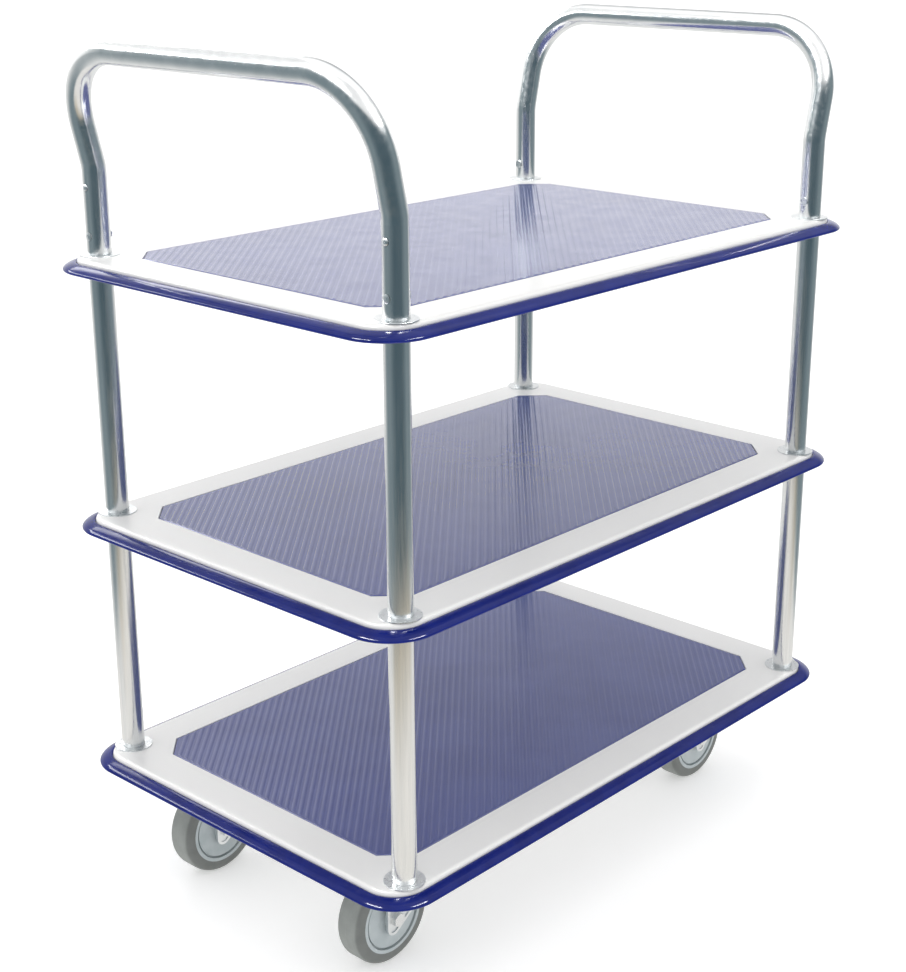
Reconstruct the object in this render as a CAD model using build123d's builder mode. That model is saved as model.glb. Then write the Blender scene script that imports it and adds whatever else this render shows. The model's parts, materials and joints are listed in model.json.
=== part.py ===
from build123d import *
import math
import os

# Three-deck platform trolley with two plug-in tube handles, two swivel and two fixed casters.
# Millimetres, +Z up, +X towards the fixed-caster end, origin on the floor under the middle.

# ---------------------------------------------------------------- driving dimensions
LENGTH = 740.0
WIDTH = 480.0
CORNER_R = 50.0
DECK_TOPS = {"bottom": 138.0, "middle": 408.0, "top": 678.0}
SHEET = 1.5

# Deck tray: rolled edge, skirt, and a shallow panel pressed down for the mat
SKIRT_INSET = 14.5
SKIRT_DEPTH = 14.0
EDGE_ROLL = 4.5
MAT_LENGTH = 622.0
MAT_WIDTH = 362.0
MAT_CHAMFER = 26.0
CHAMFER_GROWTH = 0.59
MAT_THICK = 2.4
MAT_GAP = 0.8
RECESS_DEPTH = 2.2

# Bumper strip: a D section with a hook under the skirt
BUMPER_TOP = 4.2
BUMPER_HEIGHT = 9.5
BUMPER_NOSE = 3.6
BUMPER_RISE = 4.6
BUMPER_SLOPE = 60.0
BUMPER_HOOK = 1.4
BUMPER_HOOK_REACH = 3.5

# Stiffening channels under each deck
CHANNEL_LENGTH = 590.0
CHANNEL_WEB = 100.0
CHANNEL_LIP = 12.0
CHANNEL_DROP = 13.0

# Corner tubes
POST_X = 324.5
POST_Y = 206.0
TUBE_R = 12.0
TUBE_WALL = 1.7
SPIGOT_R = 10.1
SPIGOT_WALL = 1.6
SPIGOT_RISE = 25.0
SPIGOT_HOLE_R = 10.4
NECK_LENGTH = 5.0
RING_R = 20.0
RING_THICK = 0.9
RING_ROUND = 0.3
COLLAR_R = 14.3
COLLAR_DROP = 15.2
TUBE_CLEAR = 0.15
FOOT_PLUG_RISE = 30.0
FOOT_PLUG_HEAD = 6.0

# Handles
SOCKET_HEIGHT = 81.0
HANDLE_TOP = 879.0
HANDLE_LEAN_X = 26.0
HANDLE_KINK_Z = 765.0
HANDLE_KINK_R = 40.0
HANDLE_CORNER_R = 74.0
HANDLE_SPIGOT_LENGTH = 54.0
HANDLE_NECK = 1.4
CROSS_BOLT_Z = 19.0
CROSS_BOLT_R = 3.0
CROSS_BOLT_HOLE_R = 3.2
CROSS_HEAD_R = 4.2
CROSS_HEAD_RISE = 0.9
CROSS_NUT_ACROSS = 8.0
CROSS_NUT_RISE = 1.6

# Snap buttons that lock the handles, on a leaf spring inside each spigot
BUTTON_Z = 67.0
BUTTON_R = 3.4
BUTTON_HOLE_R = 3.7
BUTTON_PROUD = 1.3
BUTTON_FOOT_R = 5.0
BUTTON_FOOT_THICK = 0.8
BUTTON_FOOT_X = 6.6
BUTTON_DOME = 1.1
LEAF_WIDTH = 6.0
LEAF_THICK = 0.7
LEAF_DROP = 28.0
LEAF_RISE = 6.0
LEAF_BACK_X = 7.4

# Casters
CASTER_X = 242.0
CASTER_Y = 130.0
CASTER_HEIGHT = 125.0
TRAIL = 38.0
WHEEL_R = 50.8
WHEEL_WIDTH = 30.0
TYRE_SHOULDER = 7.0
RIM_R = 38.7
HUB_WIDTH = 36.0
HUB_R = 11.0
GROOVE_R = 34.0
GROOVE_WIDTH = 2.2
GROOVE_DEPTH = 2.5
DISC_SINK = 1.2
AXLE_R = 6.0
AXLE_RUNNING_GAP = 0.05
AXLE_BOLT_R = 4.0
PLATE_LENGTH = 105.0
PLATE_WIDTH = 85.0
PLATE_THICK = 3.0
PLATE_CORNER = 9.0
BOLT_SPACING_X = 80.0
BOLT_SPACING_Y = 60.0
BOLT_R = 4.0
BOLT_HOLE_R = 4.3
BOLT_ACROSS = 13.0
BOLT_HEAD = 5.3
BOLT_NUT = 5.8
RACE_R = 22.0
RACE_HALF = 4.5
BALL_R = 3.0
BALL_CLEAR = 0.15
BALL_COUNT = 14
BALL_Z = 115.0
RACE_GAP = 0.6
FORK_TOP = 112.0
FORK_SHEET = 2.5
FORK_INSIDE = 37.2
CROWN_R = 27.0
KINGPIN_R = 6.0
KINGPIN_HEAD_R = 10.0
KINGPIN_HEAD = 4.0
LEG_TIP_R = 8.5
LEG_TIP_DROP = 7.5
LEG_POCKET = 1.0
LEG_RIM = 3.0
LEG_TOP_R = 3.5
LEG_FRONT = 13.0
LEG_BACK = 20.0
LEG_BACK_Z = 30.0
FIXED_LEG_HALF = 29.0
AXLE_SPACER = 37.0
AXLE_HEAD_ACROSS = 13.0
AXLE_HEAD = 5.0

CORNERS = {
    "rear_right": (-1, -1),
    "rear_left": (-1, 1),
    "front_right": (1, -1),
    "front_left": (1, 1),
}
POST_SPOTS = [(sx * POST_X, sy * POST_Y) for sx, sy in CORNERS.values()]
AXLE_Z = WHEEL_R
TOP_DECK = DECK_TOPS["top"]
JOINT_Z = TOP_DECK + SOCKET_HEIGHT

os.makedirs("parts", exist_ok=True)


def save(piece, name):
    """Labels a finished piece and writes it to its own file."""
    piece.part.label = name
    export_step(piece.part, f"parts/{name}.step")


# ---------------------------------------------------------------- decks
def outline(inset):
    """The deck's rounded plan, drawn that far inside its outer edge."""
    RectangleRounded(LENGTH - 2 * inset, WIDTH - 2 * inset, CORNER_R - inset)


def mat_outline(grow=0.0):
    """The mat's plan with its four cut corners, grown by a gap all round."""
    half_x = MAT_LENGTH / 2 + grow
    half_y = MAT_WIDTH / 2 + grow
    with BuildSketch() as plan:
        Rectangle(2 * half_x, 2 * half_y)
        chamfer(plan.vertices(), MAT_CHAMFER + grow * CHAMFER_GROWTH)
    return plan.sketch


def make_deck(level, top):
    """A pressed tray: rolled edge and skirt, sunk panel for the mat, a hole for each tube."""
    with BuildPart() as deck:
        with BuildSketch(Plane.XY.offset(top - SKIRT_DEPTH)):
            outline(SKIRT_INSET)
        extrude(amount=SKIRT_DEPTH)
        fillet(deck.faces().sort_by(Axis.Z)[-1].edges(), EDGE_ROLL)
        offset(amount=-SHEET, openings=deck.faces().sort_by(Axis.Z)[0])
        with BuildSketch(Plane.XY.offset(top - RECESS_DEPTH - SHEET)):
            add(mat_outline(MAT_GAP + SHEET))
        extrude(amount=RECESS_DEPTH)
        with BuildSketch(Plane.XY.offset(top - RECESS_DEPTH)):
            add(mat_outline(MAT_GAP))
        extrude(amount=RECESS_DEPTH, mode=Mode.SUBTRACT)
        with Locations(*[(x, y, top) for x, y in POST_SPOTS]):
            Hole(SPIGOT_HOLE_R, depth=2 * SHEET)
    save(deck, f"deck_{level}")


def make_bumper(level, top):
    """A closed ring of soft strip with a sloping crown and a rounded foot, hooked under the skirt."""
    base = top - BUMPER_TOP - BUMPER_HEIGHT
    hook_top = top - SKIRT_DEPTH - TUBE_CLEAR
    with BuildPart() as bumper:
        with BuildSketch(Plane.XY.offset(base)):
            outline(0)
        extrude(amount=BUMPER_HEIGHT - BUMPER_RISE)
        fillet(bumper.faces().sort_by(Axis.Z)[0].edges(), BUMPER_NOSE)
        extrude(bumper.faces().sort_by(Axis.Z)[-1], amount=BUMPER_RISE, taper=BUMPER_SLOPE)
        with BuildSketch(Plane.XY.offset(hook_top - BUMPER_HOOK)):
            outline(SKIRT_INSET - 2 * BUMPER_HOOK)
        extrude(amount=base + BUMPER_HOOK - hook_top + BUMPER_HOOK)
        with BuildSketch(Plane.XY.offset(hook_top - BUMPER_HOOK)):
            outline(SKIRT_INSET + BUMPER_HOOK_REACH)
        extrude(amount=SKIRT_DEPTH, mode=Mode.SUBTRACT)
        with BuildSketch(Plane.XY.offset(hook_top)):
            outline(SKIRT_INSET - TUBE_CLEAR)
        extrude(amount=SKIRT_DEPTH, mode=Mode.SUBTRACT)
    save(bumper, f"bumper_{level}")


def make_mat(level, top):
    """A vinyl mat with cut corners, lying in the deck's sunk panel."""
    with BuildPart() as mat:
        with BuildSketch(Plane.XY.offset(top - RECESS_DEPTH)):
            add(mat_outline())
        extrude(amount=MAT_THICK)
    save(mat, f"mat_{level}")


for level, top in DECK_TOPS.items():
    make_deck(level, top)
    make_bumper(level, top)
    make_mat(level, top)

# Two top-hat channels under each deck carry the load and, below, the casters
channel_top = RECESS_DEPTH + SHEET
with BuildPart() as deck_stiffeners:
    for top in DECK_TOPS.values():
        for side in (-1, 1):
            web_z = top - CHANNEL_DROP
            lip_z = top - channel_top
            outer = CHANNEL_WEB / 2
            inner = outer - SHEET
            profile_plane = Plane(
                origin=(-CHANNEL_LENGTH / 2, side * CASTER_Y, 0), x_dir=(0, 1, 0), z_dir=(1, 0, 0)
            )
            with BuildSketch(profile_plane):
                with BuildLine():
                    Polyline(
                        (-outer, web_z), (outer, web_z), (outer, lip_z - SHEET),
                        (outer + CHANNEL_LIP, lip_z - SHEET), (outer + CHANNEL_LIP, lip_z),
                        (inner, lip_z), (inner, web_z + SHEET), (-inner, web_z + SHEET),
                        (-inner, lip_z), (-outer - CHANNEL_LIP, lip_z),
                        (-outer - CHANNEL_LIP, lip_z - SHEET), (-outer, lip_z - SHEET),
                        close=True,
                    )
                make_face()
            extrude(amount=CHANNEL_LENGTH)
    caster_spots = [(sx * CASTER_X, sy * CASTER_Y) for sx, sy in CORNERS.values()]
    bottom_web = DECK_TOPS["bottom"] - CHANNEL_DROP + SHEET
    for x, y in caster_spots:
        with Locations((x, y, bottom_web)):
            with GridLocations(BOLT_SPACING_X, BOLT_SPACING_Y, 2, 2):
                Hole(BOLT_HOLE_R, depth=2 * SHEET)
save(deck_stiffeners, "deck_stiffeners")

# ---------------------------------------------------------------- corner tubes
with BuildPart() as flange_rings:
    for top in DECK_TOPS.values():
        with BuildSketch(Plane.XY.offset(top)):
            with Locations(*POST_SPOTS):
                Circle(RING_R)
                Circle(TUBE_R + TUBE_CLEAR, mode=Mode.SUBTRACT)
        extrude(amount=RING_THICK)
    fillet(flange_rings.edges().filter_by(GeomType.CIRCLE).filter_by(
        lambda edge: abs(edge.radius - RING_R) < TUBE_CLEAR).group_by(Axis.Z)[-1], RING_ROUND)
save(flange_rings, "flange_rings")

with BuildPart() as post_collars:
    for level in ("middle", "top"):
        collar_base = DECK_TOPS[level] - COLLAR_DROP
        with BuildSketch(Plane.XY.offset(collar_base)):
            with Locations(*POST_SPOTS):
                Circle(COLLAR_R)
                Circle(TUBE_R + TUBE_CLEAR, mode=Mode.SUBTRACT)
        extrude(amount=COLLAR_DROP - SHEET)
save(post_collars, "post_collars")


def tube_ring(radius, wall):
    """An annulus of the given outer radius, for a tube's section."""
    Circle(radius)
    Circle(radius - wall, mode=Mode.SUBTRACT)


def make_post(name, spot, foot, deck_above):
    """A tube from one deck to the next, its top swaged down to a spigot through the deck above."""
    shoulder = deck_above - SHEET
    with BuildPart() as post:
        with BuildSketch(Plane(origin=(*spot, foot))):
            tube_ring(TUBE_R, TUBE_WALL)
        extrude(amount=shoulder - foot)
        with BuildSketch(Plane(origin=(*spot, shoulder - NECK_LENGTH))):
            tube_ring(TUBE_R - TUBE_WALL / 2, TUBE_R - TUBE_WALL / 2 - SPIGOT_R + SPIGOT_WALL)
        extrude(amount=NECK_LENGTH)
        with BuildSketch(Plane(origin=(*spot, shoulder))):
            tube_ring(SPIGOT_R, SPIGOT_WALL)
        extrude(amount=SHEET + SPIGOT_RISE)
        if deck_above == TOP_DECK:
            with BuildSketch(Plane(origin=(spot[0], spot[1], TOP_DECK + CROSS_BOLT_Z), z_dir=(1, 0, 0))):
                Circle(CROSS_BOLT_HOLE_R)
            extrude(amount=TUBE_R, both=True, mode=Mode.SUBTRACT)
    save(post, name)


for corner, spot in zip(CORNERS, POST_SPOTS):
    make_post(f"lower_post_{corner}", spot, DECK_TOPS["bottom"], DECK_TOPS["middle"])
    make_post(f"upper_post_{corner}", spot, DECK_TOPS["middle"], DECK_TOPS["top"])

# The lower posts stand over plugs that are pushed up through the bottom deck
with BuildPart() as foot_plugs:
    head_top = DECK_TOPS["bottom"] - SHEET
    for spot in POST_SPOTS:
        with BuildSketch(Plane(origin=(*spot, head_top - FOOT_PLUG_HEAD))):
            Circle(COLLAR_R)
        extrude(amount=FOOT_PLUG_HEAD)
        with BuildSketch(Plane(origin=(*spot, head_top))):
            Circle(SPIGOT_R)
        extrude(amount=SHEET + FOOT_PLUG_RISE)
save(foot_plugs, "foot_plugs")

for corner, spot in zip(CORNERS, POST_SPOTS):
    outward = CORNERS[corner][0]
    with BuildPart() as socket:
        with BuildSketch(Plane(origin=(*spot, TOP_DECK))):
            tube_ring(TUBE_R, TUBE_WALL)
        extrude(amount=SOCKET_HEIGHT)
        with BuildSketch(Plane(origin=(spot[0], spot[1], TOP_DECK + CROSS_BOLT_Z), z_dir=(1, 0, 0))):
            Circle(CROSS_BOLT_HOLE_R)
        extrude(amount=TUBE_R, both=True, mode=Mode.SUBTRACT)
        with BuildSketch(Plane(origin=(spot[0], spot[1], TOP_DECK + BUTTON_Z), z_dir=(outward, 0, 0))):
            Circle(BUTTON_HOLE_R)
        extrude(amount=TUBE_R, mode=Mode.SUBTRACT)
    save(socket, f"handle_socket_{corner}")

# Cross bolts hold each handle socket to the spigot below it: domed heads outside, nuts inside
SEAT_R = TUBE_R + TUBE_CLEAR


def across_tube(spot, height, outward):
    """A plane through a tube's axis: X runs outward from the trolley's middle, Y runs up."""
    return Plane(origin=(*spot, height), x_dir=(outward, 0, 0), z_dir=(0, -outward, 0))


def dome_points(base, rise, radius):
    """Three points of a round head's half section: its rim, a point between, and its crown."""
    ball_r = (radius ** 2 + rise ** 2) / (2 * rise)
    middle = base + rise - ball_r
    half_turn = math.asin(radius / ball_r) / 2
    return (
        (base, radius),
        (middle + ball_r * math.cos(half_turn), ball_r * math.sin(half_turn)),
        (base + rise, 0),
    )


with BuildPart() as cross_bolts:
    for (outward, _), spot in zip(CORNERS.values(), POST_SPOTS):
        bolt_z = TOP_DECK + CROSS_BOLT_Z
        with BuildSketch(across_tube(spot, bolt_z, outward)):
            with BuildLine():
                Polyline(
                    (SEAT_R + CROSS_HEAD_RISE, 0), (-SEAT_R - CROSS_NUT_RISE, 0),
                    (-SEAT_R - CROSS_NUT_RISE, CROSS_BOLT_R), (SEAT_R, CROSS_BOLT_R),
                    (SEAT_R, CROSS_HEAD_R),
                )
                ThreePointArc(*dome_points(SEAT_R, CROSS_HEAD_RISE, CROSS_HEAD_R))
            make_face()
        revolve(axis=Axis((*spot, bolt_z), (outward, 0, 0)))
save(cross_bolts, "cross_bolts")

with BuildPart() as cross_nuts:
    for (outward, _), spot in zip(CORNERS.values(), POST_SPOTS):
        nut_x = spot[0] - outward * SEAT_R
        with BuildSketch(Plane(origin=(nut_x, spot[1], TOP_DECK + CROSS_BOLT_Z), z_dir=(-outward, 0, 0))):
            RegularPolygon(CROSS_NUT_ACROSS / 2, 6, major_radius=False)
            Circle(CROSS_BOLT_HOLE_R, mode=Mode.SUBTRACT)
        extrude(amount=CROSS_NUT_RISE)
save(cross_nuts, "cross_nuts")

# ---------------------------------------------------------------- handles
def make_handle(name, outward):
    """A bent tube hoop leaning outward, with a reduced spigot at each foot and a button hole."""
    foot_x = outward * POST_X
    bar_x = outward * (POST_X + HANDLE_LEAN_X)
    with BuildPart() as handle:
        with BuildLine():
            route = FilletPolyline(
                (foot_x, -POST_Y, JOINT_Z), (foot_x, -POST_Y, HANDLE_KINK_Z),
                (bar_x, -POST_Y, HANDLE_TOP), (bar_x, POST_Y, HANDLE_TOP),
                (foot_x, POST_Y, HANDLE_KINK_Z), (foot_x, POST_Y, JOINT_Z),
                radius=[HANDLE_KINK_R, HANDLE_CORNER_R, HANDLE_CORNER_R, HANDLE_KINK_R],
            )
        with BuildSketch(Plane(origin=(foot_x, -POST_Y, JOINT_Z))):
            tube_ring(TUBE_R, TUBE_WALL)
        sweep(path=route)
        for side in (-1, 1):
            foot = (foot_x, side * POST_Y)
            with BuildSketch(Plane(origin=(*foot, JOINT_Z))):
                tube_ring(TUBE_R - TUBE_WALL / 2, TUBE_R - TUBE_WALL / 2 - SPIGOT_R + SPIGOT_WALL)
            extrude(amount=HANDLE_NECK)
            with BuildSketch(Plane(origin=(*foot, JOINT_Z))):
                tube_ring(SPIGOT_R, SPIGOT_WALL)
            extrude(amount=-HANDLE_SPIGOT_LENGTH)
            button_plane = Plane(origin=(*foot, TOP_DECK + BUTTON_Z), z_dir=(outward, 0, 0))
            with BuildSketch(button_plane):
                Circle(BUTTON_HOLE_R)
            extrude(amount=TUBE_R, mode=Mode.SUBTRACT)
    save(handle, name)


make_handle("handle_rear", -1)
make_handle("handle_front", 1)

for corner, spot in zip(CORNERS, POST_SPOTS):
    outward = CORNERS[corner][0]
    button_z = TOP_DECK + BUTTON_Z
    tip = TUBE_R + BUTTON_PROUD
    foot_back = BUTTON_FOOT_X - BUTTON_FOOT_THICK
    with BuildPart() as button:
        with BuildSketch(across_tube(spot, button_z, outward)):
            with BuildLine():
                Polyline(
                    (tip, 0), (foot_back, 0), (foot_back, BUTTON_FOOT_R), (BUTTON_FOOT_X, BUTTON_FOOT_R),
                    (BUTTON_FOOT_X, BUTTON_R), (tip - BUTTON_DOME, BUTTON_R),
                )
                ThreePointArc(*dome_points(tip - BUTTON_DOME, BUTTON_DOME, BUTTON_R))
            make_face()
        revolve(axis=Axis((*spot, button_z), (outward, 0, 0)))
    save(button, f"snap_button_{corner}")

    # A hairpin leaf spring: one arm behind the button, the other against the far wall
    front_x = foot_back - TUBE_CLEAR
    with BuildPart() as leaf:
        with BuildSketch(across_tube(spot, button_z, outward)):
            with BuildLine():
                front_line = front_x - LEAF_THICK / 2
                back_line = LEAF_THICK / 2 - LEAF_BACK_X
                Line((front_line, LEAF_RISE), (front_line, -LEAF_DROP))
                ThreePointArc(
                    (front_line, -LEAF_DROP),
                    ((front_line + back_line) / 2, -LEAF_DROP - (front_line - back_line) / 2),
                    (back_line, -LEAF_DROP),
                )
                Line((back_line, -LEAF_DROP), (back_line, LEAF_RISE))
            trace(line_width=LEAF_THICK)
        extrude(amount=LEAF_WIDTH / 2, both=True)
    save(leaf, f"snap_spring_{corner}")

# ---------------------------------------------------------------- casters
def caster_plate(spot):
    """The four-hole top plate of one caster, inside the current part."""
    with BuildSketch(Plane(origin=(*spot, CASTER_HEIGHT - PLATE_THICK))) as plan:
        RectangleRounded(PLATE_LENGTH, PLATE_WIDTH, PLATE_CORNER)
        with GridLocations(BOLT_SPACING_X, BOLT_SPACING_Y, 2, 2):
            Circle(BOLT_HOLE_R, mode=Mode.SUBTRACT)
    extrude(plan.sketch, amount=PLATE_THICK)


def race_ring(spot, low, high):
    """A ring of the ball race between two heights, with the balls' groove in it."""
    with BuildSketch(Plane(origin=(*spot, low))) as ring:
        Circle(RACE_R + RACE_HALF)
        Circle(RACE_R - RACE_HALF, mode=Mode.SUBTRACT)
    extrude(ring.sketch, amount=high - low)
    with BuildSketch(Plane(origin=(*spot, BALL_Z), x_dir=(1, 0, 0), z_dir=(0, -1, 0))) as groove:
        with Locations((RACE_R, 0)):
            Circle(BALL_R + BALL_CLEAR)
    revolve(groove.sketch, axis=Axis((*spot, 0), (0, 0, 1)), mode=Mode.SUBTRACT)


def make_swivel_plate(corner, spot):
    """A swivel caster's top plate with the upper half of the ball race."""
    with BuildPart() as plate:
        caster_plate(spot)
        race_ring(spot, BALL_Z + RACE_GAP, CASTER_HEIGHT - PLATE_THICK)
        with BuildSketch(Plane(origin=(*spot, CASTER_HEIGHT - PLATE_THICK))):
            Circle(KINGPIN_R + AXLE_RUNNING_GAP)
        extrude(amount=PLATE_THICK, mode=Mode.SUBTRACT)
    save(plate, f"caster_plate_{corner}")


def upright(spot, side, reach):
    """A vertical plane at one side of a wheel: X along the trolley, Y up, origin beside the axle."""
    return Plane(origin=(spot[0] + reach, spot[1] + side * FORK_INSIDE / 2, AXLE_Z), z_dir=(0, -1, 0),
                 x_dir=(1, 0, 0))


def leg_face(plane, rounds, inset=0.0):
    """A leg's side view on a plane: the hull over a few rounds, drawn inside its own edge."""
    with BuildSketch(plane) as face:
        for x, z, radius in rounds:
            with Locations((x, z)):
                Circle(radius)
        make_hull()
        if inset:
            offset(amount=-inset)
        else:
            Circle(AXLE_BOLT_R + AXLE_RUNNING_GAP, mode=Mode.SUBTRACT)
    return face.sketch


def fork_legs(spot, reach, rounds):
    """Both legs of a fork, each with an axle hole and a pressed pocket in its outer face."""
    for side in (-1, 1):
        inside = upright(spot, side, reach)
        pocket_floor = inside.offset(-side * (FORK_SHEET - LEG_POCKET))
        extrude(leg_face(inside, rounds), amount=-side * FORK_SHEET)
        extrude(leg_face(pocket_floor, rounds, LEG_RIM), amount=-side * LEG_POCKET, mode=Mode.SUBTRACT)


def fork_web(spot, low_x, high_x, top):
    """The flat top that joins a fork's legs, between two distances from the caster's middle."""
    with BuildSketch(Plane(origin=(spot[0] + (low_x + high_x) / 2, spot[1], top - FORK_SHEET))) as web:
        Rectangle(high_x - low_x, FORK_INSIDE + 2 * FORK_SHEET)
    extrude(web.sketch, amount=FORK_SHEET)


def make_swivel_fork(corner, spot):
    """The swivelling fork: crown with the lower ball race, and two legs trailing to the axle."""
    leg_top = FORK_TOP - AXLE_Z - LEG_TOP_R
    rounds = [
        (LEG_TIP_R - LEG_FRONT, -LEG_TIP_DROP, LEG_TIP_R),
        (LEG_TOP_R - LEG_FRONT, leg_top, LEG_TOP_R),
        (TRAIL + LEG_BACK, LEG_BACK_Z, LEG_TOP_R),
        (TRAIL + LEG_BACK, leg_top, LEG_TOP_R),
    ]
    with BuildPart() as fork:
        fork_legs(spot, -TRAIL, rounds)
        fork_web(spot, LEG_TOP_R - LEG_FRONT - TRAIL, LEG_BACK, FORK_TOP)
        with BuildSketch(Plane(origin=(*spot, FORK_TOP - FORK_SHEET))):
            Circle(CROWN_R)
        extrude(amount=FORK_SHEET)
        race_ring(spot, FORK_TOP, BALL_Z - RACE_GAP)
        with BuildSketch(Plane(origin=(*spot, FORK_TOP - FORK_SHEET))):
            Circle(KINGPIN_R + AXLE_RUNNING_GAP)
        extrude(amount=FORK_SHEET, mode=Mode.SUBTRACT)
    save(fork, f"swivel_fork_{corner}")


def make_fixed_bracket(corner, spot):
    """A fixed caster's bracket: the same plate with two straight V-shaped legs below it."""
    web_top = CASTER_HEIGHT - PLATE_THICK
    leg_top = web_top - AXLE_Z - LEG_TOP_R
    rounds = [
        (0, -LEG_TIP_DROP, LEG_TIP_R),
        (-FIXED_LEG_HALF, leg_top, LEG_TOP_R),
        (FIXED_LEG_HALF, leg_top, LEG_TOP_R),
    ]
    with BuildPart() as bracket:
        fork_legs(spot, 0, rounds)
        fork_web(spot, -FIXED_LEG_HALF, FIXED_LEG_HALF, web_top)
        caster_plate(spot)
    save(bracket, f"caster_bracket_{corner}")


def hexagon(plane, across, height):
    """A hexagonal bolt head or nut standing on a plane."""
    with BuildSketch(plane) as flats:
        RegularPolygon(across / 2, 6, major_radius=False)
    extrude(flats.sketch, amount=height)


def make_axle(corner, axle):
    """The axle bolt with its head, nut, and the spacer tube that the wheel turns on."""
    leg_face = FORK_INSIDE / 2 + FORK_SHEET
    pocket_floor = leg_face - LEG_POCKET
    with BuildPart() as hardware:
        with BuildSketch(Plane(origin=(axle[0], axle[1] + pocket_floor, AXLE_Z), z_dir=(0, -1, 0))):
            Circle(AXLE_BOLT_R)
        extrude(amount=2 * pocket_floor)
        hexagon(Plane(origin=(axle[0], axle[1] - pocket_floor, AXLE_Z), z_dir=(0, -1, 0)),
                AXLE_HEAD_ACROSS, AXLE_HEAD)
        hexagon(Plane(origin=(axle[0], axle[1] + pocket_floor, AXLE_Z), z_dir=(0, 1, 0)),
                AXLE_HEAD_ACROSS, AXLE_HEAD)
        with BuildSketch(Plane(origin=(axle[0], axle[1] + AXLE_SPACER / 2, AXLE_Z), z_dir=(0, -1, 0))):
            Circle(AXLE_R)
        extrude(amount=AXLE_SPACER)
    save(hardware, f"axle_{corner}")


def wheel_plane(axle):
    """The plane of a wheel's half section: X is the radius, Y runs along the axle."""
    return Plane(origin=(*axle, AXLE_Z), x_dir=(0, 0, 1), z_dir=(1, 0, 0))


def make_wheel(corner, axle):
    """A wheel's plastic core with its ring groove, and the rubber tyre moulded round it."""
    spin = Axis((*axle, AXLE_Z), (0, 1, 0))
    bore = AXLE_R + AXLE_RUNNING_GAP
    face = WHEEL_WIDTH / 2
    disc = face - DISC_SINK
    groove_in = GROOVE_R - GROOVE_WIDTH / 2
    groove_out = GROOVE_R + GROOVE_WIDTH / 2
    half = [
        (bore, HUB_WIDTH / 2), (HUB_R, HUB_WIDTH / 2), (HUB_R, disc), (groove_in, disc),
        (groove_in, disc - GROOVE_DEPTH), (groove_out, disc - GROOVE_DEPTH),
        (groove_out, face), (RIM_R, face),
    ]
    other_half = [(radius, -along) for radius, along in reversed(half)]
    with BuildPart() as core:
        with BuildSketch(wheel_plane(axle)):
            with BuildLine():
                Polyline(*half, *other_half, close=True)
            make_face()
        revolve(axis=spin)
    save(core, f"wheel_core_{corner}")
    with BuildPart() as tyre:
        with BuildSketch(wheel_plane(axle)) as section:
            with Locations(((RIM_R + WHEEL_R) / 2, 0)):
                Rectangle(WHEEL_R - RIM_R, WHEEL_WIDTH)
            fillet(section.vertices().group_by(Axis.X)[-1], TYRE_SHOULDER)
        revolve(axis=spin)
    save(tyre, f"tyre_{corner}")


for (corner, (end, _)), spot in zip(CORNERS.items(), caster_spots):
    if end < 0:
        axle_spot = (spot[0] - TRAIL, spot[1])
        make_swivel_plate(corner, spot)
        make_swivel_fork(corner, spot)
    else:
        axle_spot = spot
        make_fixed_bracket(corner, spot)
    make_axle(corner, axle_spot)
    make_wheel(corner, axle_spot)

swivel_spots = caster_spots[:2]

with BuildPart() as swivel_balls:
    for spot in swivel_spots:
        with Locations((*spot, BALL_Z)):
            with PolarLocations(RACE_R, BALL_COUNT):
                Sphere(BALL_R)
save(swivel_balls, "swivel_balls")

with BuildPart() as kingpins:
    for spot in swivel_spots:
        head_top = FORK_TOP - FORK_SHEET - RACE_GAP
        with BuildSketch(Plane(origin=(*spot, head_top - KINGPIN_HEAD))):
            Circle(KINGPIN_HEAD_R)
        extrude(amount=KINGPIN_HEAD)
        with BuildSketch(Plane(origin=(*spot, head_top))):
            Circle(KINGPIN_R)
        extrude(amount=CASTER_HEIGHT - head_top)
save(kingpins, "kingpins")

# Four hexagon bolts hold each caster's plate to the channel's web, with nuts inside the channel
plate_under = CASTER_HEIGHT - PLATE_THICK
nut_z = CASTER_HEIGHT + SHEET
with BuildPart() as caster_bolts:
    for spot in caster_spots:
        for dx in (-BOLT_SPACING_X / 2, BOLT_SPACING_X / 2):
            for dy in (-BOLT_SPACING_Y / 2, BOLT_SPACING_Y / 2):
                x, y = spot[0] + dx, spot[1] + dy
                hexagon(Plane(origin=(x, y, plate_under), z_dir=(0, 0, -1)), BOLT_ACROSS, BOLT_HEAD)
                with BuildSketch(Plane(origin=(x, y, plate_under))):
                    Circle(BOLT_R)
                extrude(amount=nut_z + BOLT_NUT + 1 - plate_under)
save(caster_bolts, "caster_bolts")

with BuildPart() as caster_nuts:
    for spot in caster_spots:
        with BuildSketch(Plane(origin=(*spot, nut_z))):
            with GridLocations(BOLT_SPACING_X, BOLT_SPACING_Y, 2, 2):
                RegularPolygon(BOLT_ACROSS / 2, 6, major_radius=False)
                Circle(BOLT_R + TUBE_CLEAR, mode=Mode.SUBTRACT)
        extrude(amount=BOLT_NUT)
save(caster_nuts, "caster_nuts")
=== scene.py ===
import json
import math

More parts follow.
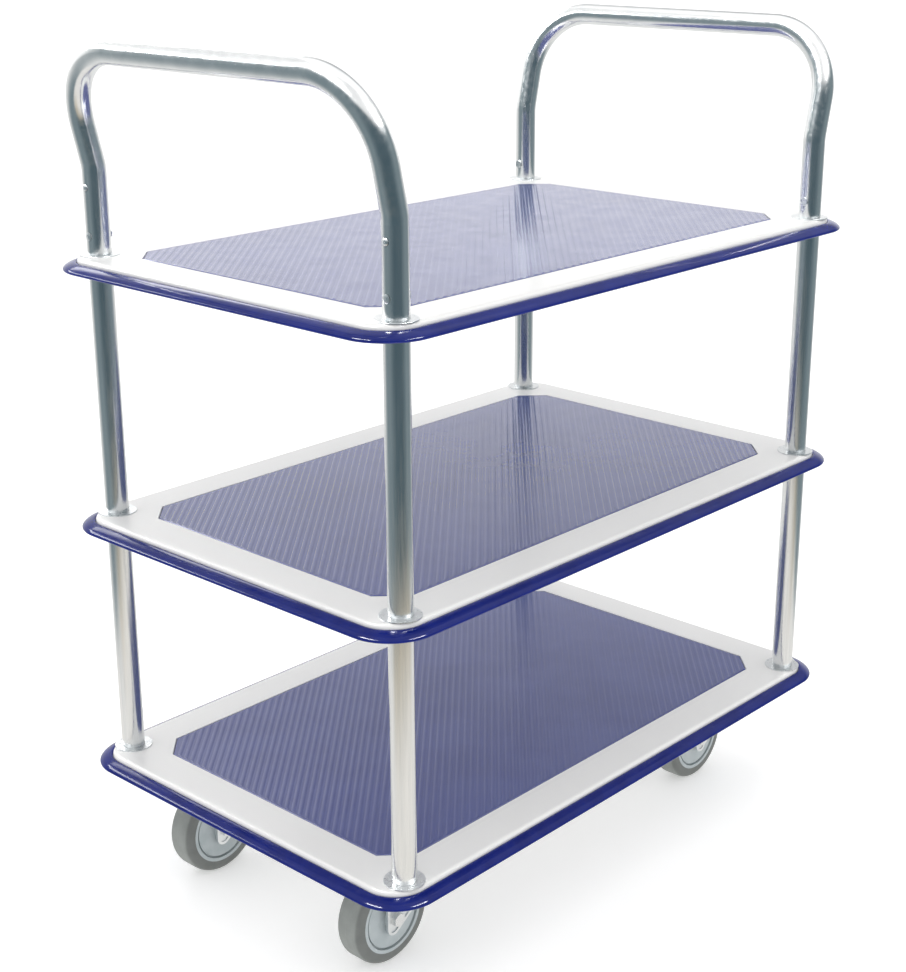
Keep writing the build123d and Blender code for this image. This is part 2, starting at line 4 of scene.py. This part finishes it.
import bmesh
import bpy
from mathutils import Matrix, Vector


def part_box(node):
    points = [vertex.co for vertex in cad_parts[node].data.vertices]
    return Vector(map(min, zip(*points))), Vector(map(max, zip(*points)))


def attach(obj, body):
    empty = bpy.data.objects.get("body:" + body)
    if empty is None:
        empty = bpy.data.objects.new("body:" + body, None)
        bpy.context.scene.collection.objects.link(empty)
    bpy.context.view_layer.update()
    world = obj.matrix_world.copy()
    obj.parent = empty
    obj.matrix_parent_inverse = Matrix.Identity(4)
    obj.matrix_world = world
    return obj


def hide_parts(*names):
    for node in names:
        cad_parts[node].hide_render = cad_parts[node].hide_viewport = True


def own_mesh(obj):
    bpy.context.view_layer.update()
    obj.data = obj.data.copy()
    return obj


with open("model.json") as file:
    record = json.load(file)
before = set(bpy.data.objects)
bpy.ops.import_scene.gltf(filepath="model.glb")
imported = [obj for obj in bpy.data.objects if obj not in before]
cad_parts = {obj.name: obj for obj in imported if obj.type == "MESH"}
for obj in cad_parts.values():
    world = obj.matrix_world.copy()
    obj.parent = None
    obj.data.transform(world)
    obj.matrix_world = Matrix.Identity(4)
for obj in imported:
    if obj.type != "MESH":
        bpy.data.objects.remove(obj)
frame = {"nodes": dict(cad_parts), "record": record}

scene = bpy.context.scene
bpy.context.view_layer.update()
nodes = frame["nodes"]
LEVELS = ("bottom", "middle", "top")
CORNERS = ("rear_right", "rear_left", "front_right", "front_left")

# ---------------------------------------------------------------- the trolley's dimensions, in metres
MAT_CHAMFER = 0.026  # how much of each mat corner is cut off
MAT_BORDER = 0.0025  # plain strip between a mat's edge and the ends of its ribs
MAT_RIM = 0.0011  # bevel round a mat's top edge
RIB_PITCH = 0.0075
RIB_TURN = math.radians(41.6)  # the ribs' direction, from the deck's long side
RIB_WIDE = 0.0048
RIB_HEIGHT = 0.00028
# A rib's section from side to side, as (place across, rise), each as a share of its width and height
RIB_PROFILE = ((-0.5, -0.2), (-0.4, 0.45), (-0.2, 0.88), (0.0, 1.0), (0.2, 0.88), (0.4, 0.45), (0.5, -0.2))
BUMPER_BEND_R = 0.050  # the nose line's radius at the deck's corners
BUMPER_BEND_STEPS = 20
BUMPER_CROWN = 0.01555  # how far the strip's crown line is above the bottom of the solid bumper
# The strip's section, as (inset from the nose, height from the crown line)
BUMPER_SECTION = (
    (0.0145, -0.0046), (0.0128, -0.0043), (0.0095, -0.0049), (0.0058, -0.0062), (0.0028, -0.0078),
    (0.0009, -0.0095), (0.0, -0.0108), (0.0006, -0.0121), (0.0022, -0.0131), (0.0048, -0.0136),
    (0.0098, -0.0137), (0.0145, -0.0137),
)
TREAD_SHARE = 0.70  # the tread's share of a tyre's width, before it starts to darken
WALL_SHARE = 0.88  # and where the darker sidewall begins
MOULD_LINE = (0.0003, 0.0007)  # the line round a tyre's middle: full inside the first, gone by the second

# ---------------------------------------------------------------- the studio
FLOOR_REACH = 40.0
FLOOR_GLOW = 0.30
FLOOR_WHITES = ((0.93, 0.93, 0.93), (0.95, 0.95, 0.95))
SKY_WHITE = (1.0, 1.0, 1.0)

# What bright metal sees on the floor: pale by the trolley, warmer further out, then the dark room
LIT_MIDDLE = (-0.25, -0.25, 0.0)
LIT_PALE = (0.95, 0.93, 0.90)
LIT_CREAM = (0.95, 0.92, 0.87)
LIT_TAN = (0.62, 0.55, 0.43)
TAN_FROM, TAN_TO = 0.50, 0.90
LIT_R = 0.94
LIT_FADE = 0.18

# What bright metal sees all round: a teal room on one side, pale walls on the others, grey on the far right
DARK_SIDE = (-0.586, -0.811, 0.0)
ROOM_DEEP = (0.070, 0.115, 0.140)
ROOM_MIDDLE = (0.205, 0.265, 0.290)
ROOM_PALE = (0.95, 0.95, 0.94)
BACKDROP = (1.28, 1.28, 1.27)
FAR_RIGHT = (0.93, -0.37, 0.0)
SKY_GREY = (0.34, 0.35, 0.37)

# Each light: name, place, what it points at, (length, width), watts, whether it makes highlights only
LIGHTS = (
    ("overhead", (0.3, 0.2, 2.6), (0, 0, 0.4), (2.6, 2.2), 6, False),
    ("far_left_box", (0.55, 2.3, 2.05), (0, 0, 0.55), (1.5, 0.30), 8, False),
    ("left_box", (-1.0, 2.1, 1.75), (0, 0, 0.4), (1.3, 0.22), 16, True),
    ("near_left_box", (-1.7, 0.35, 2.3), (0, 0, 0.4), (1.3, 0.22), 75, True),
    ("near_right_box", (0.35, -1.7, 2.3), (0, 0, 0.4), (1.3, 0.22), 75, True),
)
CAMERA_PLACE = (-1.3408, -1.2122, 1.0187)
CAMERA_TARGET = (0, 0, 0.408)
CAMERA_LENS_MM = 64.435
CAMERA_FILM_MM = 36.0
CAMERA_SHIFT = (-0.02115, -0.0072)

# ---------------------------------------------------------------- shader helpers


def new_material(name):
    material = bpy.data.materials.new(name)
    material.use_nodes = True
    tree = material.node_tree
    return material, tree, tree.nodes["Principled BSDF"]


def coordinates(tree, stretch=(1.0, 1.0, 1.0)):
    """Object coordinates, which are the trolley's own coordinates at rest, stretched."""
    source = tree.nodes.new("ShaderNodeTexCoord")
    mapping = tree.nodes.new("ShaderNodeMapping")
    mapping.inputs["Scale"].default_value = stretch
    tree.links.new(source.outputs["Object"], mapping.inputs["Vector"])
    return mapping.outputs["Vector"]


def noise(tree, vector, scale, detail=3.0):
    texture = tree.nodes.new("ShaderNodeTexNoise")
    texture.inputs["Scale"].default_value = scale
    texture.inputs["Detail"].default_value = detail
    texture.inputs["Roughness"].default_value = 0.55
    tree.links.new(vector, texture.inputs["Vector"])
    return texture.outputs["Fac"]


def remap(tree, value, low, high, start=0.3, end=0.7):
    """A value that runs from low to high, with soft ends, while the one given runs from start to end."""
    node = tree.nodes.new("ShaderNodeMapRange")
    node.interpolation_type = "SMOOTHSTEP"
    for socket, number in (("From Min", start), ("From Max", end), ("To Min", low), ("To Max", high)):
        node.inputs[socket].default_value = number
    tree.links.new(value, node.inputs["Value"])
    return node.outputs["Result"]


def maths(tree, operation, *values):
    node = tree.nodes.new("ShaderNodeMath")
    node.operation = operation
    for socket, value in zip(node.inputs, values):
        if isinstance(value, (int, float)):
            socket.default_value = value
        else:
            tree.links.new(value, socket)
    return node.outputs["Value"]


def vector_maths(tree, operation, output, vector, constant=None):
    """One step of vector arithmetic, on a vector and sometimes a constant one."""
    node = tree.nodes.new("ShaderNodeVectorMath")
    node.operation = operation
    if constant is not None:
        node.inputs[1].default_value = constant
    tree.links.new(vector, node.inputs[0])
    return node.outputs[output]


# A mix node has sockets of every kind; these are the places of the ones that colours use
MIX_FACTOR, MIX_FIRST, MIX_SECOND, MIX_RESULT = 0, 6, 7, 2


def blend_colours(tree, factor, first, second):
    """The first colour where the factor is 0, the second where it is 1."""
    node = tree.nodes.new("ShaderNodeMix")
    node.data_type = "RGBA"
    for place, colour in ((MIX_FIRST, first), (MIX_SECOND, second)):
        if isinstance(colour, tuple):
            node.inputs[place].default_value = (*colour, 1.0)
        else:
            tree.links.new(colour, node.inputs[place])
    tree.links.new(factor, node.inputs[MIX_FACTOR])
    return node.outputs[MIX_RESULT]


def bump(tree, shader, height, strength, distance):
    """Lets a height lift the shader's surface."""
    node = tree.nodes.new("ShaderNodeBump")
    node.inputs["Strength"].default_value = strength
    node.inputs["Distance"].default_value = distance
    tree.links.new(height, node.inputs["Height"])
    tree.links.new(node.outputs["Normal"], shader.inputs["Normal"])


WEAR_FINENESS = 3.7  # how much finer a surface's wear is than its patches of colour


def surface(name, colours, roughness, stretch=(1, 1, 1), patch_scale=30.0, grain_scale=900.0,
            grain=0.15, grain_depth=0.0002, **sockets):
    """A material whose colour and roughness drift between two values, with a fine raised grain."""
    material, tree, shader = new_material(name)
    vector = coordinates(tree, stretch)
    patches = noise(tree, vector, patch_scale, 4.0)
    tree.links.new(blend_colours(tree, remap(tree, patches, 0, 1), *colours), shader.inputs["Base Color"])
    wear = noise(tree, vector, patch_scale * WEAR_FINENESS, 5.0)
    tree.links.new(remap(tree, wear, *roughness), shader.inputs["Roughness"])
    bump(tree, shader, noise(tree, vector, grain_scale, 2.0), grain, grain_depth)
    for socket, value in sockets.items():
        shader.inputs[socket.replace("_", " ")].default_value = value
    return material


# ---------------------------------------------------------------- materials

enamel = surface("white_enamel", ((0.88, 0.877, 0.865), (0.90, 0.896, 0.884)), (0.28, 0.33),
                 patch_scale=4.0, grain_scale=420.0, grain=0.025, Coat_Weight=0.2, Coat_Roughness=0.12)
vinyl_blue = surface("navy_bumper", ((0.005, 0.013, 0.155), (0.008, 0.018, 0.190)), (0.10, 0.15),
                     patch_scale=40.0, grain_scale=500.0, grain=0.02, IOR=1.31)
mat_blue = surface("blue_mat", ((0.044, 0.060, 0.240), (0.052, 0.071, 0.267)), (0.22, 0.27),
                   patch_scale=10.0, grain_scale=1400.0, grain=0.02, IOR=1.6,
                   Coat_Weight=0.4, Coat_Roughness=0.2)
# Painted light: the ground between the ribs is coloured lighter than the ribs to even out their shading; its
# rougher finish is its own.
mat_painted_light_ground = surface("blue_mat_painted_light_ground", ((0.058, 0.078, 0.260), (0.068, 0.089, 0.287)), (0.38, 0.46),
                     patch_scale=10.0, grain_scale=1400.0, grain=0.05, IOR=1.42)
# Painted shade: the mat rim's near-black colour draws the thin dark shadow line round each mat's edge.
mat_painted_shade_rim = surface("blue_mat_painted_shade_rim", ((0.020, 0.024, 0.07), (0.028, 0.033, 0.09)), (0.5, 0.6),
                  patch_scale=40.0, grain_scale=1400.0, grain=0.05, IOR=1.3)
post_chrome = surface("chrome_post", ((0.74, 0.755, 0.76), (0.81, 0.82, 0.82)), (0.17, 0.25),
                      stretch=(1, 1, 0.03), patch_scale=260.0, grain_scale=1500.0, grain=0.02, Metallic=1.0)
handle_chrome = surface("chrome_handle", ((0.75, 0.765, 0.77), (0.81, 0.82, 0.82)), (0.16, 0.23),
                        patch_scale=55.0, grain_scale=1200.0, grain=0.02, Metallic=1.0)
zinc_sheet = surface("zinc_sheet", ((0.50, 0.515, 0.53), (0.62, 0.63, 0.64)), (0.30, 0.46),
                     patch_scale=70.0, grain_scale=800.0, grain=0.08, Metallic=1.0)
zinc_bright = surface("zinc_bright", ((0.70, 0.72, 0.735), (0.78, 0.795, 0.80)), (0.26, 0.34),
                      patch_scale=80.0, grain_scale=900.0, grain=0.015, Metallic=1.0)
zinc_pressed = surface("zinc_pressed", ((0.66, 0.70, 0.72), (0.76, 0.785, 0.80)), (0.28, 0.38),
                       patch_scale=60.0, grain_scale=700.0, grain=0.02, Metallic=1.0)
spring_blue = surface("spring_steel", ((0.20, 0.21, 0.24), (0.27, 0.28, 0.31)), (0.25, 0.38),
                      patch_scale=160.0, Metallic=1.0)
core_grey = surface("grey_plastic", ((0.40, 0.455, 0.47), (0.46, 0.51, 0.525)), (0.34, 0.46),
                    patch_scale=60.0, grain_scale=1500.0, grain=0.12)


def tyre_rubber():
    """Grey rubber: a darker sidewall, a lighter worn tread with a fine mould line round its middle."""
    material, tree, shader = new_material("grey_rubber")
    vector = coordinates(tree)
    patches = noise(tree, vector, 60.0, 5.0)
    tread = blend_colours(tree, remap(tree, patches, 0, 1), (0.225, 0.243, 0.232), (0.268, 0.287, 0.274))
    wall = blend_colours(tree, remap(tree, patches, 0, 1), (0.145, 0.156, 0.150), (0.175, 0.187, 0.180))
    low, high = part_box("tyre_rear_left")
    split = tree.nodes.new("ShaderNodeSeparateXYZ")
    tree.links.new(vector, split.inputs["Vector"])
    across = maths(tree, "SUBTRACT", maths(tree, "ABSOLUTE", split.outputs["Y"]), (low.y + high.y) / 2)
    off_middle = maths(tree, "ABSOLUTE", across)
    half = (high.y - low.y) / 2
    beside = remap(tree, off_middle, 0, 1, half * TREAD_SHARE, half * WALL_SHARE)
    tree.links.new(blend_colours(tree, beside, tread, wall), shader.inputs["Base Color"])
    tree.links.new(remap(tree, patches, 0.5, 0.68), shader.inputs["Roughness"])
    line = remap(tree, off_middle, 1, 0, *MOULD_LINE)
    height = maths(tree, "ADD", line, maths(tree, "MULTIPLY", noise(tree, vector, 1300.0, 3.0), 0.3))
    bump(tree, shader, height, 0.5, 0.0003)
    return material


rubber = tyre_rubber()

PAINTS = {
    "white_enamel": enamel, "blue_bumper": vinyl_blue, "blue_mat": mat_blue, "chrome_tube": post_chrome,
    "zinc_sheet": zinc_sheet, "zinc_fitting": zinc_bright, "zinc_fastener": zinc_bright,
    "zinc_pressing": zinc_pressed, "button_steel": zinc_bright, "spring_steel": spring_blue,
    "ball_steel": zinc_bright, "grey_plastic": core_grey, "grey_rubber": rubber,
}


def paint(piece, material):
    piece.data.materials.clear()
    piece.data.materials.append(material)


for entry in frame["record"]["subparts"]:
    paint(nodes[entry["node"]], PAINTS[entry["material_slot"]])
for name in ("handle_rear", "handle_front"):
    paint(nodes[name], handle_chrome)


# ---------------------------------------------------------------- piece helpers


def mesh_piece(name, build, material, body, smooth=True):
    """A new mesh piece on a body, made by a function that fills a bmesh."""
    shape = bmesh.new()
    build(shape)
    bmesh.ops.recalc_face_normals(shape, faces=shape.faces)
    mesh = bpy.data.meshes.new(name)
    shape.to_mesh(mesh)
    shape.free()
    mesh.shade_smooth() if smooth else mesh.shade_flat()
    piece = bpy.data.objects.new(name, mesh)
    scene.collection.objects.link(piece)
    paint(piece, material)
    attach(piece, body)
    return piece


def rounded_outline(half_x, half_y, radius, steps):
    """Points round a rounded rectangle, as (corner centre, outward direction) pairs."""
    points = []
    for index, (sx, sy) in enumerate(((1, 1), (-1, 1), (-1, -1), (1, -1))):
        centre = Vector((sx * (half_x - radius), sy * (half_y - radius)))
        for step in range(steps + 1):
            turn = math.pi / 2 * (index + step / steps)
            points.append((centre, Vector((math.cos(turn), math.sin(turn)))))
    return points


def sweep_outline(shape, outline, radius, section):
    """Sweeps a closed section of (inset, height) points round a rounded outline of that corner radius."""
    rings = []
    for centre, outward in outline:
        rings.append([
            shape.verts.new((*(centre + outward * (radius - inset)), height)) for inset, height in section
        ])
    for ring, following in zip(rings, rings[1:] + rings[:1]):
        for a in range(len(section)):
            b = (a + 1) % len(section)
            shape.faces.new((ring[a], ring[b], following[b], following[a]))


# ---------------------------------------------------------------- ribbed mats


def mat_corners(half_x, half_y, chamfer):
    """The eight corners of a rectangle with its own corners cut off, anticlockwise from the +X side."""
    return [
        (half_x, half_y - chamfer), (half_x - chamfer, half_y), (chamfer - half_x, half_y),
        (-half_x, half_y - chamfer), (-half_x, chamfer - half_y), (chamfer - half_x, -half_y),
        (half_x - chamfer, -half_y), (half_x, chamfer - half_y),
    ]


# The mat's material slots
RIB_SLOT, GROUND_SLOT, RIM_SLOT = 0, 1, 2


def make_mat(level):
    """A deck's mat: a thin sheet with cut corners and a bevelled rim, and slanting ribs across its top."""
    low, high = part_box(f"mat_{level}")
    half_x, half_y = high.x, high.y

    def build(shape):
        narrowing = MAT_RIM * math.tan(math.pi / 8)
        rings = []
        for inset, z, chamfer in ((0, low.z, MAT_CHAMFER), (0, high.z - MAT_RIM, MAT_CHAMFER),
                                  (MAT_RIM, high.z, MAT_CHAMFER - narrowing)):
            rings.append([shape.verts.new((x, y, z))
                          for x, y in mat_corners(half_x - inset, half_y - inset, chamfer)])
        # The rim's faces take the near-black rim colour, which is painted shade.
        for ring, following in zip(rings, rings[1:]):
            for a in range(len(ring)):
                b = (a + 1) % len(ring)
                shape.faces.new((ring[a], ring[b], following[b], following[a])).material_index = RIM_SLOT
        shape.faces.new(rings[0]).material_index = RIB_SLOT
        # The top face between the ribs takes the ground colour, painted lighter to even out the ribs'
        # shading.
        shape.faces.new(rings[-1]).material_index = GROUND_SLOT
        room = (half_x - MAT_BORDER, half_y - MAT_BORDER)
        rows = int(math.hypot(half_x, half_y) / RIB_PITCH)
        for row in range(-rows, rows + 1):
            rib(shape, row * RIB_PITCH, room, high.z)

    piece = mesh_piece(f"ribbed_mat_{level}", build, mat_blue, "frame", smooth=False)
    piece.data.materials.append(mat_painted_light_ground)
    piece.data.materials.append(mat_painted_shade_rim)
    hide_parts(f"mat_{level}")


def rib_ends(offset, room):
    """Where a line along the ribs, that far from the mat's middle, meets the cut-cornered outline."""
    along = Vector((math.cos(RIB_TURN), math.sin(RIB_TURN)))
    start = Vector((-along.y, along.x)) * offset
    cut = room[0] + room[1] - MAT_CHAMFER
    walls = [((1, 0), room[0]), ((0, 1), room[1]), ((1, 1), cut), ((1, -1), cut)]
    ends = [-math.inf, math.inf]
    for direction, reach in walls:
        wall = Vector(direction)
        speed, place = wall.dot(along), wall.dot(start)
        hits = sorted(((reach - place) / speed, (-reach - place) / speed))
        ends = [max(ends[0], hits[0]), min(ends[1], hits[1])]
    return ends


def rib(shape, offset, room, base):
    """One raised rib of the mat: a long low ridge with a rounded crown and sloping ends."""
    along = Vector((math.cos(RIB_TURN), math.sin(RIB_TURN)))
    across = Vector((-along.y, along.x))
    low_end, high_end = rib_ends(offset, room)
    if high_end - low_end < 4 * RIB_WIDE:
        return
    rows = []
    slope = RIB_WIDE / 4
    for place, rise in RIB_PROFILE:
        sideways = offset + place * RIB_WIDE
        edge = rib_ends(sideways, room)
        back = (1 - rise) * slope
        rows.append([
            shape.verts.new((*(across * sideways + along * reach), base + rise * RIB_HEIGHT))
            for reach in (edge[0] + slope - back, edge[1] - slope + back)
        ])
    for row, following in zip(rows, rows[1:]):
        shape.faces.new((row[0], row[1], following[1], following[0]))
    for end in (0, 1):
        shape.faces.new([row[end] for row in rows])


for level in LEVELS:
    make_mat(level)

# ---------------------------------------------------------------- bumpers


def make_bumper(level):
    """A deck's vinyl strip: a sloping crown, a bulged nose and a tucked-in foot, all round the deck."""
    low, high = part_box(f"bumper_{level}")
    section = [(inset, low.z + BUMPER_CROWN + height) for inset, height in BUMPER_SECTION]

    def build(shape):
        outline = rounded_outline(high.x, high.y, BUMPER_BEND_R, BUMPER_BEND_STEPS)
        sweep_outline(shape, outline, BUMPER_BEND_R, section)

    piece = mesh_piece(f"bumper_strip_{level}", build, vinyl_blue, "frame")
    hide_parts(f"bumper_{level}")
    rounding = piece.modifiers.new("rounding", "SUBSURF")
    rounding.levels = rounding.render_levels = 1


for level in LEVELS:
    make_bumper(level)

# ---------------------------------------------------------------- leaf springs


def make_leaf_spring(corner):
    """A snap button's hairpin spring, copied from the CAD part onto the frame; the real spring closes up
    towards the trolley's middle as the button goes in.
    """
    node = f"snap_spring_{corner}"
    piece = bpy.data.objects.new(f"leaf_spring_{corner}", nodes[node].data.copy())
    scene.collection.objects.link(piece)
    paint(piece, spring_blue)
    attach(piece, "frame")
    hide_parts(node)
    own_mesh(piece)


for corner in CORNERS:
    make_leaf_spring(corner)

# ---------------------------------------------------------------- stage, light and camera


def towards(tree, direction, target):
    """How far a direction points towards a target: 1 is straight at it, 0 is square to it."""
    return vector_maths(tree, "DOT_PRODUCT", "Value", direction, target)


def mirror_ray(tree):
    """1 where a surface is seen in bright metal, 0 everywhere else."""
    return tree.nodes.new("ShaderNodeLightPath").outputs["Is Glossy Ray"]


def dark_room(tree, direction, white):
    """The colour that bright metal sees in a level direction: a teal room on one side, white on the other."""
    aim = towards(tree, direction, DARK_SIDE)
    room = blend_colours(tree, remap(tree, aim, 0, 1, 0.25, 0.98), ROOM_MIDDLE, ROOM_DEEP)
    return blend_colours(tree, remap(tree, aim, 0, 1, -0.90, -0.15), white, room)


def lit_patch(tree, distance, direction):
    """The floor that bright metal sees near the trolley: warmer further out, but only on the dark side."""
    warm = blend_colours(tree, remap(tree, distance, 0, 1, TAN_FROM, TAN_TO), LIT_CREAM, LIT_TAN)
    near_side = remap(tree, towards(tree, direction, DARK_SIDE), 0, 1, -0.2, 0.5)
    return blend_colours(tree, near_side, LIT_PALE, warm)


def make_floor():
    """A pale floor. Bright metal sees it turn into a dark room beyond the lit patch round the trolley."""
    corners = [(x, y, 0) for x, y in ((-FLOOR_REACH, -FLOOR_REACH), (FLOOR_REACH, -FLOOR_REACH),
                                      (FLOOR_REACH, FLOOR_REACH), (-FLOOR_REACH, FLOOR_REACH))]
    mesh = bpy.data.meshes.new("floor")
    mesh.from_pydata(corners, [], [(0, 1, 2, 3)])
    floor = bpy.data.objects.new("floor", mesh)
    scene.collection.objects.link(floor)
    material, tree, shader = new_material("floor_paper")
    vector = coordinates(tree)
    offset = vector_maths(tree, "SUBTRACT", "Vector", vector, LIT_MIDDLE)
    distance = vector_maths(tree, "LENGTH", "Value", offset)
    direction = vector_maths(tree, "NORMALIZE", "Vector", offset)
    beyond = remap(tree, distance, 0, 1, LIT_R, LIT_R + LIT_FADE)
    room = dark_room(tree, direction, ROOM_PALE)
    seen_in_metal = blend_colours(tree, beyond, lit_patch(tree, distance, direction), room)
    mirrored = mirror_ray(tree)
    paper = blend_colours(tree, noise(tree, vector, 3.0), *FLOOR_WHITES)
    colour = blend_colours(tree, mirrored, paper, (0.0, 0.0, 0.0))
    tree.links.new(colour, shader.inputs["Base Color"])
    shader.inputs["Roughness"].default_value = 0.9
    shader.inputs["Specular IOR Level"].default_value = 0.0
    glow = blend_colours(tree, mirrored, (FLOOR_GLOW, FLOOR_GLOW, FLOOR_GLOW), seen_in_metal)
    tree.links.new(glow, shader.inputs["Emission Color"])
    shader.inputs["Emission Strength"].default_value = 1.0
    paint(floor, material)


def make_world():
    """White all round, but bright metal sees a teal room on one side of a white studio."""
    world = bpy.data.worlds.new("studio")
    scene.world = world
    world.use_nodes = True
    tree = world.node_tree
    background = tree.nodes["Background"]
    direction = tree.nodes.new("ShaderNodeTexCoord").outputs["Generated"]
    up = towards(tree, direction, (0, 0, 1))
    right = remap(tree, towards(tree, direction, FAR_RIGHT), 0, 1, 0.10, 0.50)
    sky = blend_colours(tree, right, SKY_WHITE, SKY_GREY)
    backdrop = blend_colours(tree, remap(tree, up, 0, 1, 0.20, 0.50), BACKDROP, sky)
    room = dark_room(tree, direction, backdrop)
    colour = blend_colours(tree, remap(tree, up, 0, 1, 0.34, 0.55), room, SKY_WHITE)
    dark_half = remap(tree, towards(tree, direction, DARK_SIDE), 0, 1, -0.9, -0.3)
    colour = blend_colours(tree, dark_half, backdrop, colour)
    colour = blend_colours(tree, mirror_ray(tree), SKY_WHITE, colour)
    tree.links.new(colour, background.inputs["Color"])
    background.inputs["Strength"].default_value = 1.0


def area_light(name, place, target, size, watts, highlight_only):
    data = bpy.data.lights.new(name, "AREA")
    data.shape = "RECTANGLE"
    data.size, data.size_y = size
    data.energy = watts
    light = bpy.data.objects.new(name, data)
    light.visible_camera = False
    light.visible_diffuse = not highlight_only
    light.location = place
    light.rotation_euler = (Vector(target) - Vector(place)).to_track_quat("-Z", "Y").to_euler()
    scene.collection.objects.link(light)


def make_camera():
    data = bpy.data.cameras.new("camera")
    data.lens = CAMERA_LENS_MM
    data.sensor_width = CAMERA_FILM_MM
    data.shift_x, data.shift_y = CAMERA_SHIFT
    camera = bpy.data.objects.new("camera", data)
    camera.location = CAMERA_PLACE
    aim = Vector(CAMERA_TARGET) - camera.location
    camera.rotation_euler = aim.to_track_quat("-Z", "Y").to_euler()
    scene.collection.objects.link(camera)
    scene.camera = camera


make_floor()
make_world()
for light in LIGHTS:
    area_light(*light)
make_camera()
scene.view_settings.view_transform = "Standard"
